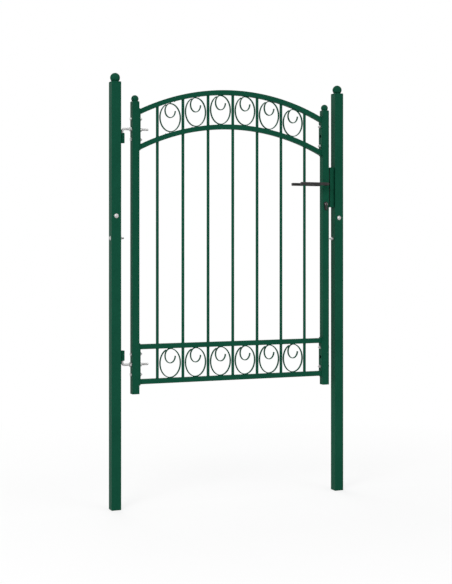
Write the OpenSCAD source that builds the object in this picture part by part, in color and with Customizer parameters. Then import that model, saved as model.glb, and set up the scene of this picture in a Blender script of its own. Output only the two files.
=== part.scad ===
// Garden gate: arched leaf of square tube with oval scrolls, hung between two ball-topped posts.
// Millimetres. Origin at the middle of the hinge post's foot, +X to the latch post, -Y to the front.

/* [Posts] */
// Side of the square post tube
post_w = 40; // [30:1:60]
// Wall of the post tube
post_wall = 2; // [1:0.5:5]
// Height of a post up to the top of its cap plate
post_h = 1726; // [1700:1:2200]
// Distance between the centres of the two posts
post_spacing = 1010; // [980:1:1400]
// Radius of the ball on a post
post_ball_r = 20; // [12:1:30]
// Distance from the lever spindle down to the bolt that runs from front to back
front_bolt_drop = 145; // [120:1:500]
// Distance from the lever spindle down to the bolt that runs along the gate
side_bolt_drop = 235; // [160:1:600]

/* [Leaf frame] */
// Gap between the hinge post and the leaf
hinge_gap = 49; // [40:1:70]
// Gap between the leaf and the latch post
latch_gap = 27; // [27:0.5:40]
// Side of the square stile tube
stile_w = 30; // [26:1:40]
// Wall of the stile tube
stile_wall = 1.5; // [1:0.5:4]
// Height of the lower end of the stiles
stile_bottom = 462; // [350:1:480]
// Height of the stiles up to the top of their cap plates
stile_top = 1650; // [1640:1:1720]
// Radius of the ball on a stile
stile_ball_r = 15; // [10:1:24]
// Side of the square tube of the arches and rails
rail_w = 20; // [16:1:24]
// Wall of the arch and rail tube
rail_wall = 1.5; // [1:0.5:4]
// Outer radius of both arches
arch_r = 935; // [800:5:1200]
// Height of the highest point of the upper arch
arch_apex = 1715; // [1690:1:1800]
// Height of the upper arch above the lower one
arch_drop = 143.5; // [130:0.5:160]
// Height of the underside of the bottom rail
bottom_rail_z = 501; // [490:1:520]
// Height of the middle rail above the bottom rail
rail_spacing = 142; // [130:1:160]

/* [Bars and scrolls] */
// Diameter of an upright bar
bar_d = 12; // [8:0.5:16]
// Distance between the centres of neighbouring bars
bar_pitch = 111.8; // [95:0.1:118]
// Thickness of the scroll strip
strip_t = 3.5; // [2:0.5:6]
// Depth of the scroll strip from front to back
strip_depth = 10; // [6:1:18]
// Gap between a scroll and the bars beside it
scroll_side_gap = 3.6; // [1:0.1:10]
// Size of the inner curl as a share of the whole oval
curl_share = 0.5; // [0.4:0.05:0.55]

/* [End plates and bolts] */
// Thickness of an end plate
plate_t = 5; // [3:0.5:8]
// Length of an end plate past the tubes welded to it
plate_margin = 4; // [0:0.5:12]
// Cut corner of an end plate
plate_corner = 5; // [2:0.5:9]
// Distance of a plate bolt from the middle of its plate
plate_bolt_offset = 41.5; // [32:0.5:50]
// Diameter of the plate bolts and post bolts
bolt_d = 8; // [6:0.5:10]
// Diameter of the mushroom head of a post bolt
post_head_d = 18; // [14:0.5:24]
// Length of a post bolt past the post
post_bolt_tail = 17; // [8:0.5:17]
// Length of a plate bolt past its nut
plate_bolt_tail = 4; // [1:0.5:10]

/* [Hinges] */
// Outer diameter of a hinge sleeve
sleeve_d = 20; // [16:0.5:24]
// Height of a hinge sleeve
sleeve_h = 41; // [25:1:60]
// Distance from the middle of the hinge bolt to the sleeve
sleeve_offset = 17; // [15:0.5:30]
// Diameter of the bent hinge bolt
pin_d = 10; // [8:0.5:12]
// Play between the hinge pin and its sleeve, on the radius
pin_play = 0.25; // [0.1:0.05:0.5]
// Bend radius at the middle of the hinge bolt
bend_r = 10; // [8:0.5:14]
// Length of the hinge bolt past the end plate
hinge_bolt_tail = 37; // [15:1:60]
// Diameter of the hole for a hinge bolt
hinge_hole_d = 13; // [13:0.5:15]

/* [Lock] */
// Distance of the lock from the outer face of the latch stile
backset = 16; // [15:0.5:20]
// Distance from the middle of the upper end plates down to the lever spindle
spindle_drop = 207.4; // [190:0.1:300]
// Side of the square spindle
spindle_w = 8; // [6:0.5:10]
// Distance from the spindle down to the lock cylinder
cylinder_drop = 86; // [60:1:95]
// Diameter of the round part of the lock cylinder
cylinder_d = 17; // [13:0.5:18]
// Height of the whole lock cylinder
cylinder_h = 33; // [28:0.5:45]
// Length of the lock cylinder past each face of the stile
cylinder_proud = 7; // [1:0.5:8]
// Length of a lever from the spindle to its tip
lever_len = 134; // [90:1:150]
// Height of a lever
lever_h = 12.5; // [12:0.5:26]
// Thickness of a lever
lever_t = 13; // [11:0.5:15]
// Rounding of a lever's edges
lever_edge = 2.5; // [1:0.5:4]
// Distance from the stile to the middle of a lever
lever_stand = 28.5; // [25:0.5:50]
// Bend radius at the middle of a lever's elbow
elbow_r = 13; // [9:0.5:18]
// Thickness of the lock faceplate
faceplate_t = 1.5; // [0.5:0.25:1.5]
// Width of the lock faceplate
faceplate_w = 20; // [18:0.5:24]
// Height of the lock faceplate
faceplate_h = 190; // [150:1:240]
// Width of the latch bolt
latch_w = 10; // [6:0.5:12]
// Height of the latch bolt
latch_h = 24; // [14:0.5:30]
// Depth of the latch bolt
latch_depth = 10; // [8:0.5:16]
// Side of the square keep on the latch post
keep_w = 20; // [18:0.5:20]
// Height of the keep
keep_h = 173; // [140:1:190]
// Distance from the lever spindle down to the keep's lower end
keep_drop = 99; // [88:1:123]

/* [Hidden] */

$fn = 48;
// Segments of the large arch circles
arch_fn = 360;

// Colours of the finishes
paint_green = [0.09, 0.29, 0.22];
zinc = [0.75, 0.76, 0.77];
black = [0.22, 0.21, 0.21];
steel = [0.62, 0.61, 0.58];

// Cuts run this far past the faces that they open
over = 1;
// Gap left where round pieces are welded together
weld_gap = 0.2;
// Clearance of bolt holes, nut threads and sliding pieces, on the radius
hole_fit = 0.3;
thread_fit = 0.15;
slide_fit = 0.3;

// Closed lower end of a post or stile tube
foot_t = 3;
// Cap plates with a bevelled rim, and how deep the ball sits in them
cap_t = 5;
cap_bevel = 3;
ball_sink = cap_t;

// Fastener proportions for a bolt diameter
function hex_w(d) = 1.625 * d;
function head_h(d) = 0.66 * d;
function nut_h(d) = 0.8 * d;
mushroom_h = post_head_d / 4;
hinge_nut_w = 1.7 * pin_d;

// Where the posts, stiles and end plates stand along X
stile_x = post_w / 2 + hinge_gap + stile_w / 2;
latch_stile_x = post_spacing - post_w / 2 - latch_gap - stile_w / 2;
leaf_x = (stile_x + latch_stile_x) / 2;
hinge_stile_face = stile_x - stile_w / 2;
latch_stile_face = latch_stile_x + stile_w / 2;
rail_start = stile_x + stile_w / 2 + plate_t;
rail_end = latch_stile_x - stile_w / 2 - plate_t;
rail_len = rail_end - rail_start;

// Heights of the arches and of the end plates
upper_centre_z = arch_apex - arch_r;
lower_centre_z = upper_centre_z - arch_drop;
arch_inner_r = arch_r - rail_w;
arch_mid_r = arch_r - rail_w / 2;
arch_end_z = sqrt(pow(arch_mid_r, 2) - pow(rail_len / 2, 2));
upper_plate_z = (upper_centre_z + lower_centre_z) / 2 + arch_end_z;
lower_plate_z = bottom_rail_z + (rail_spacing + rail_w) / 2;
plate_heights = [upper_plate_z, lower_plate_z];
plate_len = max(rail_spacing, arch_drop) + rail_w + 2 * plate_margin;

// Upright bars, centred on the leaf
bar_count = 7;
function bar_x(i) = leaf_x + (i - (bar_count + 1) / 2) * bar_pitch;
bar_foot_z = bottom_rail_z + rail_w;

// Each scroll stands between bar i and bar i + 1
function bay_x(i) = bar_x(i) + bar_pitch / 2;
function arc_z(centre_z, r, x) = centre_z + sqrt(r * r - pow(x - leaf_x, 2));
function arch_slope(x) = (x - leaf_x) / sqrt(pow(arch_mid_r, 2) - pow(x - leaf_x, 2));
function bay_top(x) = arc_z(upper_centre_z, arch_inner_r, x);
function bay_floor(x) = arc_z(lower_centre_z, arch_r, x);
scroll_half_w = (bar_pitch - bar_d) / 2 - scroll_side_gap;
lower_scroll_half_h = (rail_spacing - rail_w) / 2 - weld_gap;
// Half height of an upright oval that touches two sloping arches
function upper_scroll_half_h(x) =
    sqrt(pow((bay_top(x) - bay_floor(x)) / 2 - weld_gap, 2) - pow(scroll_half_w * arch_slope(x), 2));

// The scroll strip starts at the free end of the curl and ends against it, in degrees
curl_start = -2;
curl_end = -270;
ring_start = 90;
ring_end = -246;
curl_steps = 24;
ring_steps = 36;

// Hinge axis and pin
hinge_x = post_w / 2 + sleeve_d / 2;
pin_bore_d = pin_d + 2 * pin_play;
pin_short = 3;
pin_len = sleeve_offset + sleeve_h - pin_short;
hinge_bolt_len = rail_start + hinge_bolt_tail - hinge_x;
sleeve_weld_w = 8;

// Lock, its keep and the post bolts, placed from the upper end plates
spindle_z = upper_plate_z - spindle_drop;
keep_z = spindle_z - keep_drop;
front_bolt_z = spindle_z - front_bolt_drop;
side_bolt_z = spindle_z - side_bolt_drop;
lock_x = latch_stile_face - backset;
lock_cylinder_z = spindle_z - cylinder_drop;
cylinder_tail_w = 10;
spindle_hole_d = spindle_w * sqrt(2) + 2 * hole_fit;
neck_gap = 0.3;
socket_w = spindle_w + 2 * slide_fit;
socket_depth = lever_stand - elbow_r - slide_fit;
spindle_len = stile_w + 2 * (socket_depth - slide_fit);
faceplate_z = spindle_z - cylinder_drop / 2;
keep_slot_w = latch_w + 4;
keep_slot_h = latch_h + 8;
keep_wall = rail_wall;

// Upright square tube standing on z = 0, closed below
module square_tube(w, wall, h) {
    difference() {
        translate([-w / 2, -w / 2, 0])
            cube([w, w, h]);
        translate([wall - w / 2, wall - w / 2, foot_t])
            cube([w - 2 * wall, w - 2 * wall, h]);
    }
}

// Round cut along X, Y or Z, centred on the origin
module drill_x(d, length) {
    rotate([0, 90, 0])
        cylinder(d = d, h = length + 2 * over, center = true);
}

module drill_y(d, length) {
    rotate([90, 0, 0])
        cylinder(d = d, h = length + 2 * over, center = true);
}

// Square cap plate with a bevelled rim and a ball, standing on z = 0
module ball_cap(w, ball_r) {
    profile = [
        [-w / 2, 0], [w / 2, 0], [w / 2, cap_t - cap_bevel],
        [w / 2 - cap_bevel, cap_t], [cap_bevel - w / 2, cap_t], [-w / 2, cap_t - cap_bevel]
    ];
    intersection() {
        rotate([90, 0, 0])
            linear_extrude(w, center = true)
                polygon(profile);
        rotate([90, 0, 90])
            linear_extrude(w, center = true)
                polygon(profile);
    }
    translate([0, 0, cap_t - ball_sink + ball_r])
        sphere(ball_r);
}

// Hexagon nut on z = 0, bored for its bolt
module nut(d, w, h) {
    difference() {
        cylinder(d = w / cos(30), h = h, $fn = 6);
        translate([0, 0, -over])
            cylinder(d = d + 2 * thread_fit, h = h + 2 * over);
    }
}

// Hexagon bolt with its shank along +Z and its head below z = 0
module hex_bolt(length) {
    cylinder(d = bolt_d, h = length);
    translate([0, 0, -head_h(bolt_d)])
        cylinder(d = hex_w(bolt_d) / cos(30), h = head_h(bolt_d), $fn = 6);
}

// Mushroom-headed bolt with its shank along +Z and its domed head below z = 0
module mushroom_bolt(length) {
    dome_r = (pow(post_head_d / 2, 2) + pow(mushroom_h, 2)) / (2 * mushroom_h);
    cylinder(d = bolt_d, h = length);
    intersection() {
        translate([0, 0, dome_r - mushroom_h])
            sphere(dome_r);
        translate([-post_head_d / 2, -post_head_d / 2, -mushroom_h])
            cube([post_head_d, post_head_d, mushroom_h]);
    }
}

// Post tube with the holes of its two bolts
module post(x) {
    translate([x, 0, 0])
        difference() {
            square_tube(post_w, post_wall, post_h - cap_t);
            translate([0, 0, front_bolt_z])
                drill_y(bolt_d + 2 * hole_fit, post_w);
            translate([0, 0, side_bolt_z])
                drill_x(bolt_d + 2 * hole_fit, post_w);
        }
}

module hinge_post() {
    color(paint_green)
        post(0);
}

module latch_post() {
    color(paint_green)
        post(post_spacing);
}

module post_caps() {
    color(paint_green)
        for (x = [0, post_spacing])
            translate([x, 0, post_h - cap_t])
                ball_cap(post_w, post_ball_r);
}

// Sleeve with the weld that fills the corner between it and the post
module hinge_sleeve(z) {
    translate([hinge_x, 0, z])
        difference() {
            union() {
                cylinder(d = sleeve_d, h = sleeve_h);
                translate([-sleeve_d / 2, -sleeve_weld_w / 2, 0])
                    cube([sleeve_d / 2, sleeve_weld_w, sleeve_h]);
            }
            translate([0, 0, -over])
                cylinder(d = pin_bore_d, h = sleeve_h + 2 * over);
        }
}

module hinge_sleeves() {
    color(paint_green) {
        hinge_sleeve(upper_plate_z - sleeve_offset - sleeve_h);
        hinge_sleeve(lower_plate_z + sleeve_offset);
    }
}

// Places its children at the four post bolts, with +Z from the head to the nut
module at_post_bolts() {
    for (x = [0, post_spacing])
        translate([x, -post_w / 2, front_bolt_z])
            rotate([-90, 0, 0])
                children();
    translate([-post_w / 2, 0, side_bolt_z])
        rotate([0, 90, 0])
            children();
    translate([post_spacing + post_w / 2, 0, side_bolt_z])
        rotate([0, -90, 0])
            children();
}

module post_bolts() {
    color(zinc)
        at_post_bolts()
            mushroom_bolt(post_w + post_bolt_tail);
}

module post_nuts() {
    color(zinc)
        at_post_bolts()
            translate([0, 0, post_w])
                nut(bolt_d, hex_w(bolt_d), nut_h(bolt_d));
}

// Closed box keep with a slot for the latch
module keep() {
    color(paint_green)
        translate([post_spacing - post_w / 2 - keep_w, -keep_w / 2, keep_z])
            difference() {
                cube([keep_w, keep_w, keep_h]);
                translate([keep_wall, keep_wall, keep_wall])
                    cube([keep_w - 2 * keep_wall, keep_w - 2 * keep_wall, keep_h - 2 * keep_wall]);
                translate([-over, (keep_w - keep_slot_w) / 2, spindle_z - keep_z - keep_slot_h / 2])
                    cube([keep_wall + 2 * over, keep_slot_w, keep_slot_h]);
            }
}

// Stile tube with the holes of its end plates' bolts
module stile(x) {
    translate([x, 0, 0])
        difference() {
            translate([0, 0, stile_bottom])
                square_tube(stile_w, stile_wall, stile_top - cap_t - stile_bottom);
            for (z = plate_heights) {
                translate([0, 0, z])
                    drill_x(hinge_hole_d, stile_w);
                for (side = [-1, 1])
                    translate([0, 0, z + side * plate_bolt_offset])
                        drill_x(bolt_d + 2 * hole_fit, stile_w);
            }
        }
}

module hinge_stile() {
    color(paint_green)
        stile(stile_x);
}

// Outline of the lock cylinder: a round head with a narrow tail below it
module cylinder_outline(fit) {
    circle(d = cylinder_d + 2 * fit);
    tail_drop = cylinder_h - cylinder_d / 2 - cylinder_tail_w / 2;
    translate([-cylinder_tail_w / 2 - fit, -tail_drop])
        square([cylinder_tail_w + 2 * fit, tail_drop]);
    translate([0, -tail_drop])
        circle(d = cylinder_tail_w + 2 * fit);
}

// Lock cylinder or its hole, along Y
module cylinder_body(length, fit) {
    translate([lock_x, 0, lock_cylinder_z])
        rotate([90, 0, 0])
            linear_extrude(length, center = true)
                cylinder_outline(fit);
}

// Block of the latch bolt's height and width that ends at the faceplate's outer face
module latch_block(depth, fit, proud) {
    translate([latch_stile_face + faceplate_t - depth, -latch_w / 2 - fit, spindle_z - latch_h / 2 - fit])
        cube([depth + proud, latch_w + 2 * fit, latch_h + 2 * fit]);
}

module latch_stile() {
    color(paint_green)
        difference() {
            stile(latch_stile_x);
            translate([lock_x, 0, spindle_z])
                drill_y(spindle_hole_d, stile_w);
            cylinder_body(stile_w + 2 * over, slide_fit);
            latch_block(latch_depth, slide_fit, over);
        }
}

module stile_caps() {
    color(paint_green)
        for (x = [stile_x, latch_stile_x])
            translate([x, 0, stile_top - cap_t])
                ball_cap(stile_w, stile_ball_r);
}

// Bent square tube between the end plates
module arch(centre_z) {
    hollow_w = rail_w - 2 * rail_wall;
    intersection() {
        translate([leaf_x, 0, centre_z])
            rotate([90, 0, 0])
                rotate_extrude($fn = arch_fn)
                    translate([arch_mid_r, 0])
                        difference() {
                            square(rail_w, center = true);
                            square(hollow_w, center = true);
                        }
        translate([rail_start, -rail_w, centre_z])
            cube([rail_len, 2 * rail_w, arch_r + over]);
    }
}

// Upright cuts through which the bars pass
module bar_holes(z, length) {
    for (i = [1:bar_count])
        translate([bar_x(i), 0, z])
            cylinder(d = bar_d + 2 * weld_gap, h = length);
}

module upper_arch() {
    color(paint_green)
        arch(upper_centre_z);
}

module lower_arch() {
    color(paint_green)
        difference() {
            arch(lower_centre_z);
            bar_holes(lower_centre_z, arch_r + over);
        }
}

// Straight square tube between the end plates, with its underside at z
module rail(z) {
    translate([rail_start, -rail_w / 2, z])
        difference() {
            cube([rail_len, rail_w, rail_w]);
            translate([-over, rail_wall, rail_wall])
                cube([rail_len + 2 * over, rail_w - 2 * rail_wall, rail_w - 2 * rail_wall]);
        }
}

module middle_rail() {
    color(paint_green)
        difference() {
            rail(bottom_rail_z + rail_spacing);
            bar_holes(bottom_rail_z + rail_spacing - over, rail_w + 2 * over);
        }
}

module bottom_rail() {
    color(paint_green)
        rail(bottom_rail_z);
}

// Upright bar from the bottom rail to the underside of the upper arch
module bar(i) {
    color(paint_green)
        intersection() {
            translate([bar_x(i), 0, bar_foot_z])
                cylinder(d = bar_d, h = arch_apex - bar_foot_z);
            translate([leaf_x, 0, upper_centre_z])
                rotate([90, 0, 0])
                    cylinder(r = arch_inner_r - weld_gap, h = rail_w, center = true, $fn = arch_fn);
        }
}

// Point of the strip's edge, off to one side of an ellipse with half axes a and b at angle t
function edge_point(a, b, lift, t, off) =
    let (n = [b * cos(t), a * sin(t)])
    [a * cos(t), lift + b * sin(t)] + off * n / norm(n);

function strip_edge(a, b, off) = concat(
    [for (k = [0:curl_steps])
        let (t = curl_start + (curl_end - curl_start) * k / curl_steps)
        edge_point(a * curl_share, b * curl_share, b * (1 - curl_share), t, off)],
    [for (k = [1:ring_steps])
        let (t = ring_start + (ring_end - ring_start) * k / ring_steps)
        edge_point(a, b, 0, t, off)]
);

function reversed(v) = [for (k = [len(v) - 1:-1:0]) v[k]];

// Oval scroll of flat strip, centred on x and z
module scroll(x, z, half_h) {
    a = scroll_half_w - strip_t / 2;
    b = half_h - strip_t / 2;
    color(paint_green)
        translate([x, 0, z])
            rotate([90, 0, 0])
                linear_extrude(strip_depth, center = true)
                    polygon(concat(
                        strip_edge(a, b, strip_t / 2),
                        reversed(strip_edge(a, b, -strip_t / 2))
                    ));
}

module upper_scroll(i) {
    x = bay_x(i);
    scroll(x, (bay_top(x) + bay_floor(x)) / 2, upper_scroll_half_h(x));
}

module lower_scroll(i) {
    scroll(bay_x(i), lower_plate_z, lower_scroll_half_h);
}

// Upright plate with cut corners and three holes, from x along +X
module end_plate(x, z) {
    half_w = stile_w / 2;
    half_l = plate_len / 2;
    translate([x, 0, z])
        difference() {
            rotate([90, 0, 90])
                linear_extrude(plate_t)
                    polygon([
                        [plate_corner - half_w, -half_l], [half_w - plate_corner, -half_l],
                        [half_w, plate_corner - half_l], [half_w, half_l - plate_corner],
                        [half_w - plate_corner, half_l], [plate_corner - half_w, half_l],
                        [-half_w, half_l - plate_corner], [-half_w, plate_corner - half_l]
                    ]);
            translate([plate_t / 2, 0, 0])
                drill_x(hinge_hole_d, plate_t);
            for (side = [-1, 1])
                translate([plate_t / 2, 0, side * plate_bolt_offset])
                    drill_x(bolt_d + 2 * hole_fit, plate_t);
        }
}

module hinge_end_plates() {
    color(paint_green)
        for (z = plate_heights)
            end_plate(rail_start - plate_t, z);
}

module latch_end_plates() {
    color(paint_green)
        for (z = plate_heights)
            end_plate(rail_end, z);
}

// Places its children at the eight plate bolts, with +Z from the head to the nut
module at_plate_bolts() {
    for (z = plate_heights, side = [-1, 1]) {
        translate([hinge_stile_face, 0, z + side * plate_bolt_offset])
            rotate([0, 90, 0])
                children();
        translate([latch_stile_face, 0, z + side * plate_bolt_offset])
            rotate([0, -90, 0])
                children();
    }
}

module plate_bolts() {
    color(zinc)
        at_plate_bolts()
            hex_bolt(stile_w + plate_t + nut_h(bolt_d) + plate_bolt_tail);
}

module plate_nuts() {
    color(zinc)
        at_plate_bolts()
            translate([0, 0, stile_w + plate_t])
                nut(bolt_d, hex_w(bolt_d), nut_h(bolt_d));
}

// Bolt bent at a right angle: shank along +X, pin down along the hinge axis
module hinge_bolt() {
    color(zinc) {
        translate([bend_r, 0, 0])
            rotate([0, 90, 0])
                cylinder(d = pin_d, h = hinge_bolt_len - bend_r);
        translate([bend_r, 0, -bend_r])
            rotate([90, 0, 0])
                rotate([0, 0, 90])
                    rotate_extrude(angle = 90)
                        translate([bend_r, 0])
                            circle(d = pin_d);
        translate([0, 0, -pin_len])
            cylinder(d = pin_d, h = pin_len - bend_r);
    }
}

module upper_hinge_bolt() {
    translate([hinge_x, 0, upper_plate_z])
        hinge_bolt();
}

module lower_hinge_bolt() {
    translate([hinge_x, 0, lower_plate_z])
        mirror([0, 0, 1])
            hinge_bolt();
}

module hinge_nuts() {
    color(zinc)
        for (z = plate_heights, x = [hinge_stile_face - nut_h(pin_d), rail_start])
            translate([x, 0, z])
                rotate([0, 90, 0])
                    nut(pin_d, hinge_nut_w, nut_h(pin_d));
}

module lock_faceplate() {
    color(steel)
        difference() {
            translate([latch_stile_face, -faceplate_w / 2, faceplate_z - faceplate_h / 2])
                cube([faceplate_t, faceplate_w, faceplate_h]);
            latch_block(latch_depth, slide_fit, over);
        }
}

module latch_bolt() {
    color(steel)
        latch_block(latch_depth, 0, 0);
}

module lock_cylinder() {
    color(black)
        cylinder_body(stile_w + 2 * cylinder_proud, 0);
}

// Section of a lever, a rectangle with rounded edges
module lever_section() {
    for (u = [-1, 1], v = [-1, 1])
        translate([u * (lever_t / 2 - lever_edge), v * (lever_h / 2 - lever_edge)])
            circle(r = lever_edge);
    square([lever_t - 2 * lever_edge, lever_h], center = true);
    square([lever_t, lever_h - 2 * lever_edge], center = true);
}

// Lever with its neck on the stile's -Y face, bent at an elbow towards -X
module lever() {
    neck_start = stile_w / 2 + neck_gap;
    arm_y = stile_w / 2 + lever_stand;
    color(black)
        translate([lock_x, 0, spindle_z])
            difference() {
                union() {
                    translate([0, -neck_start, 0])
                        rotate([90, 0, 0])
                            linear_extrude(arm_y - elbow_r - neck_start)
                                lever_section();
                    translate([-elbow_r, elbow_r - arm_y, 0])
                        rotate([0, 0, -90])
                            rotate_extrude(angle = 90)
                                translate([elbow_r, 0])
                                    lever_section();
                    translate([-lever_len, -arm_y, 0])
                        rotate([90, 0, 90])
                            linear_extrude(lever_len - elbow_r)
                                lever_section();
                }
                translate([-socket_w / 2, -stile_w / 2 - socket_depth, -socket_w / 2])
                    cube([socket_w, socket_depth, socket_w]);
            }
}

module front_lever() {
    lever();
}

module rear_lever() {
    mirror([0, 1, 0])
        lever();
}

module spindle() {
    color(steel)
        translate([lock_x - spindle_w / 2, -spindle_len / 2, spindle_z - spindle_w / 2])
            cube([spindle_w, spindle_len, spindle_w]);
}

hinge_post();
latch_post();
post_caps();
hinge_sleeves();
post_bolts();
post_nuts();
keep();
hinge_stile();
latch_stile();
stile_caps();
upper_arch();
lower_arch();
middle_rail();
bottom_rail();
for (i = [1:bar_count]) bar(i);
for (i = [1:bar_count - 1]) upper_scroll(i);
for (i = [1:bar_count - 1]) lower_scroll(i);
hinge_end_plates();
latch_end_plates();
plate_bolts();
plate_nuts();
upper_hinge_bolt();
lower_hinge_bolt();
hinge_nuts();
lock_faceplate();
latch_bolt();
lock_cylinder();
front_lever();
rear_lever();
spindle();
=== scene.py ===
from math import asin, atan2, cos, pi, radians, sin, sqrt, tan

import bmesh
import bpy
from mathutils import Matrix, Vector


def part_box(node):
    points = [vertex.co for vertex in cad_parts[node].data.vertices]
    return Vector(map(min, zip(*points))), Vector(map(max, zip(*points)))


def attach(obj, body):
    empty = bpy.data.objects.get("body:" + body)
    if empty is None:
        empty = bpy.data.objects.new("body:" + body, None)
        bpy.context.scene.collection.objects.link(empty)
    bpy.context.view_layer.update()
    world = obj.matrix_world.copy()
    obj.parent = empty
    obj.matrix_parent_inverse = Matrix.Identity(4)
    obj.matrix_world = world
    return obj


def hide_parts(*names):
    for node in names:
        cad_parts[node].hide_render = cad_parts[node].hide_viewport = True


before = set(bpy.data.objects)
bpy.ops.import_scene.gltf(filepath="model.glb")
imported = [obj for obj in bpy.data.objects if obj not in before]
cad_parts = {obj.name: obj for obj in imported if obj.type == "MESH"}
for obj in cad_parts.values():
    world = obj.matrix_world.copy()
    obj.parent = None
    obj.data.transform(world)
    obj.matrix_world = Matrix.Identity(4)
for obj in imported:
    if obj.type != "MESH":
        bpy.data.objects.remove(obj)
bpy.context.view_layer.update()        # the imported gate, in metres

scene = bpy.context.scene
mm = 0.001
print("gate frame loaded:", len(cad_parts), "nodes")


# camera of the photograph
photoView = {
    "place": (-1.47888, -4.68471, 1.07141),
    "turn": (90.0, 0.0, -23.0436),  # degrees, level with the gate's middle
    "lens": 74.745,
    "sensor": 36.0,
    "shift": (-0.01077, -0.08247),
}


def setCamera():
    lensData = bpy.data.cameras.new("photoView")
    lensData.lens = photoView["lens"]
    lensData.sensor_width = photoView["sensor"]
    lensData.shift_x, lensData.shift_y = photoView["shift"]
    eye = bpy.data.objects.new("photoView", lensData)
    eye.location = photoView["place"]
    eye.rotation_euler = [radians(a) for a in photoView["turn"]]
    scene.collection.objects.link(eye)
    scene.camera = eye


setCamera()
print("camera set")


# small tools for the modelling below
sameSpot = 1e-5  # metres within which two places count as one
hexTurn = 60  # degrees after which a hexagon looks the same
alongX, againstX, alongY, upward = (1, 0, 0), (-1, 0, 0), (0, 1, 0), (0, 0, 1)


def clearPick():
    bpy.ops.object.select_all(action="DESELECT")


def pickOnly(piece):
    clearPick()
    piece.select_set(True)
    bpy.context.view_layer.objects.active = piece


def openEdit(piece):
    pickOnly(piece)
    bpy.ops.object.mode_set(mode="EDIT")


def closeEdit():
    bpy.ops.object.mode_set(mode="OBJECT")


def pickAll():
    bpy.ops.mesh.select_all(action="SELECT")


# kind is EDGE or FACE
def pickParts(piece, kind, wanted):
    bpy.ops.mesh.select_mode(type=kind)
    bpy.ops.mesh.select_all(action="DESELECT")
    shape = bmesh.from_edit_mesh(piece.data)
    for part in shape.edges if kind == "EDGE" else shape.faces:
        if wanted(part):
            part.select_set(True)
    bmesh.update_edit_mesh(piece.data)


def namePiece(piece, name):
    piece.name = name
    piece.data.name = name
    return piece


# puts a piece's place into its mesh, so that its object stays at the origin
def settle(piece):
    pickOnly(piece)
    bpy.ops.object.transform_apply(location=True, rotation=True, scale=True)
    return piece


# the object that was just added
def takeUp(name):
    return settle(namePiece(bpy.context.object, name))


def moveTo(piece, place):
    piece.location = place
    return settle(piece)


# stands a piece that was made along +Z at a place, pointing another way
def standPiece(piece, place, way, twist=0.0):
    turn = Vector(way).to_track_quat("Z", "Y").to_matrix().to_4x4()
    turn = turn @ Matrix.Rotation(radians(twist), 4, "Z")
    piece.matrix_world = Matrix.Translation(Vector(place)) @ turn
    return settle(piece)


def runsAlong(edge, axis):
    run = edge.verts[1].co - edge.verts[0].co
    return abs(run[axis]) > 0.999 * run.length


def bothAt(edge, axis, value):
    return all(abs(v.co[axis] - value) < sameSpot for v in edge.verts)


def mergeTwins(gap=1e-6):
    pickAll()
    bpy.ops.mesh.remove_doubles(threshold=gap)


def mergeAll(piece):
    openEdit(piece)
    mergeTwins()
    closeEdit()


def sealShell(gap=1e-6):
    mergeTwins(gap)
    bpy.ops.mesh.normals_make_consistent(inside=False)
    closeEdit()


def startBlock(name, lo, hi):
    clearPick()
    lo, hi = Vector(lo), Vector(hi)
    bpy.ops.mesh.primitive_cube_add(size=1, location=(lo + hi) / 2, scale=hi - lo)
    return takeUp(name)


def roundEdges(piece, wanted, width, steps=3):
    openEdit(piece)
    pickParts(piece, "EDGE", wanted)
    bpy.ops.mesh.bevel(offset=width, segments=steps, affect="EDGES")
    mergeTwins()
    closeEdit()


# block with its edges along one axis rounded, and then the edges of both ends
def roundedBlock(name, lo, hi, axis, look):
    block = startBlock(name, lo, hi)
    roundEdges(block, lambda e: runsAlong(e, axis), look["corner"], look["cornerSteps"])
    roundEdges(block, lambda e: bothAt(e, axis, lo[axis]) or bothAt(e, axis, hi[axis]), look["rim"], 2)
    return block


# flat section with rounded corners, left in edit mode and selected
def startSection(name, wide, deep, corner, steps, place, turn):
    clearPick()
    bpy.ops.mesh.primitive_plane_add(size=1, location=place, rotation=turn)
    bpy.context.object.scale = (wide, deep, 1)
    section = takeUp(name)
    openEdit(section)
    pickAll()
    bpy.ops.mesh.bevel(offset=corner, segments=steps, affect="VERTICES")
    bpy.ops.mesh.select_mode(type="FACE")
    pickAll()
    return section


# extrudes what is selected and, where a share is given, scales it about a point
def pushOut(shift, share=None, about=None):
    bpy.ops.mesh.extrude_region_move(TRANSFORM_OT_translate={"value": shift})
    if share:
        bpy.ops.transform.resize(value=share, center_override=about)


# turns a ring of points up its profile of (height, radius) pairs, in mm
def turnPiece(name, profile, sides=32, bored=False):
    clearPick()
    height, radius = profile[0]
    bpy.ops.mesh.primitive_circle_add(vertices=sides, radius=radius * mm, location=(0, 0, height * mm),
                                      fill_type="NOTHING" if bored else "NGON")
    piece = takeUp(name)
    openEdit(piece)
    pickAll()
    for nextHeight, nextRadius in profile[1:]:
        share = nextRadius / radius
        pushOut((0, 0, (nextHeight - height) * mm), (share, share, 1), (0, 0, nextHeight * mm))
        height, radius = nextHeight, nextRadius
    sealShell()
    return piece


def copyPiece(model, name):
    pickOnly(model)
    bpy.ops.object.duplicate(linked=False)
    return namePiece(bpy.context.object, name)


def joinPieces(name, pieces):
    clearPick()
    for piece in pieces:
        piece.select_set(True)
    bpy.context.view_layer.objects.active = pieces[0]
    bpy.ops.object.join()
    return namePiece(pieces[0], name)


# copies of a model at (place, way) pairs, each turned a step further about its own axis
def spreadCopies(name, model, places, step=0):
    parts = []
    for index, (place, way) in enumerate(places):
        twin = copyPiece(model, "%s%d" % (name, index))
        parts.append(standPiece(twin, place, way, index * step % hexTurn))
    bpy.data.objects.remove(model)
    return joinPieces(name, parts)


def applyModifier(piece, kind, **values):
    step = piece.modifiers.new(kind.lower(), kind)
    for key, value in values.items():
        setattr(step, key, value)
    pickOnly(piece)
    bpy.ops.object.modifier_apply(modifier=step.name)


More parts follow.
